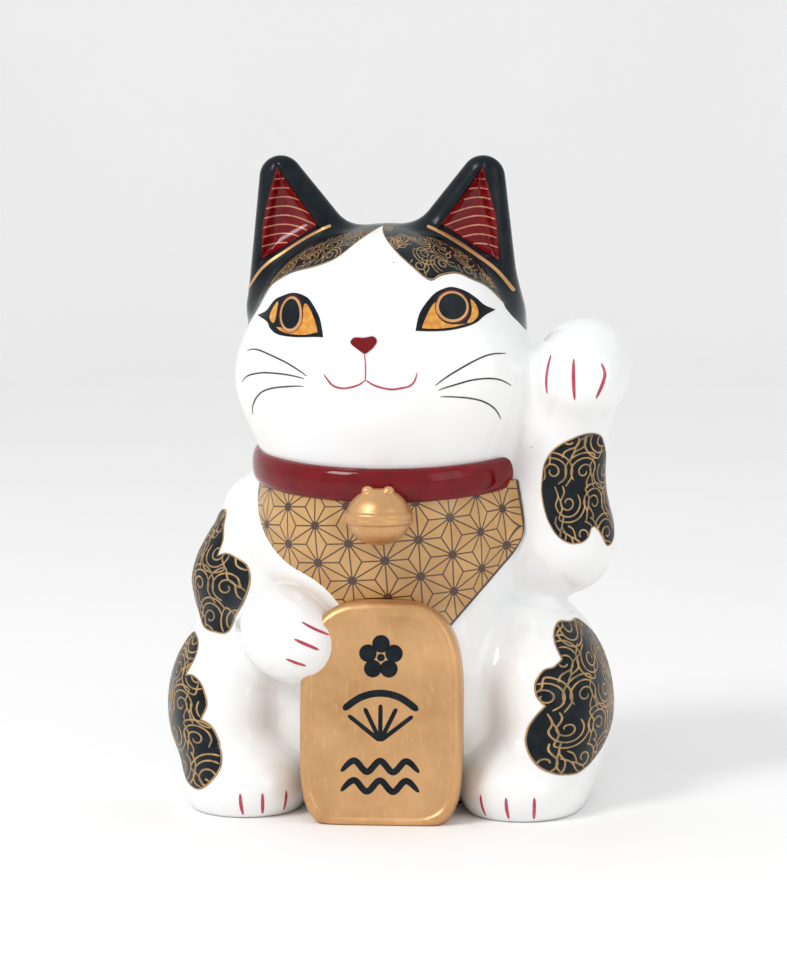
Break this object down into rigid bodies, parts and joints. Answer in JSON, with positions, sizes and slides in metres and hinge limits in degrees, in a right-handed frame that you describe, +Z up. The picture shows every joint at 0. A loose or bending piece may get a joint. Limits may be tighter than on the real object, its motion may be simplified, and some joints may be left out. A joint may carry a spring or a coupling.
{
  "type": "ceramic cat figurine",
  "caption": "Seated beckoning cat in glazed ceramic, a hollow coin bank with one paw raised, a coin plaque, bib, collar and bell, and a soft bung in its base.",
  "frame": {"origin": "on the standing surface, under the middle of the whole figure's box", "axes": "+Z up, the cat faces -Y, its raised left paw is at +X"},
  "size_m": [0.1472, 0.131, 0.2044],
  "materials": {
    "white_glaze": "clear gloss glaze over a white body",
    "black_glaze": "gloss black overglaze",
    "gold_paint": "satin gold lustre fired on the glaze",
    "red_glaze": "gloss dark red overglaze",
    "bib_glaze": "printed overglaze pattern under gloss",
    "soft_rubber": "matt soft moulding"
  },
  "bodies": {
    "cat": {"torso_shell": "white_glaze", "floor_slab": "white_glaze", "head_shell": "white_glaze", "left_ear": "black_glaze", "right_ear": "black_glaze", "raised_foreleg": "white_glaze", "lowered_foreleg": "white_glaze", "tail": "black_glaze", "coin_plaque": "gold_paint", "collar": "red_glaze", "bib": "bib_glaze", "bell": "gold_paint"},
    "stopper": {"base_bung": "soft_rubber"}
  },
  "joints": [
    {"name": "bung_pull", "type": "slide", "parent": "cat", "child": "stopper", "axis": [0, 0, -1], "range_m": [0, 0.03]}
  ]
}
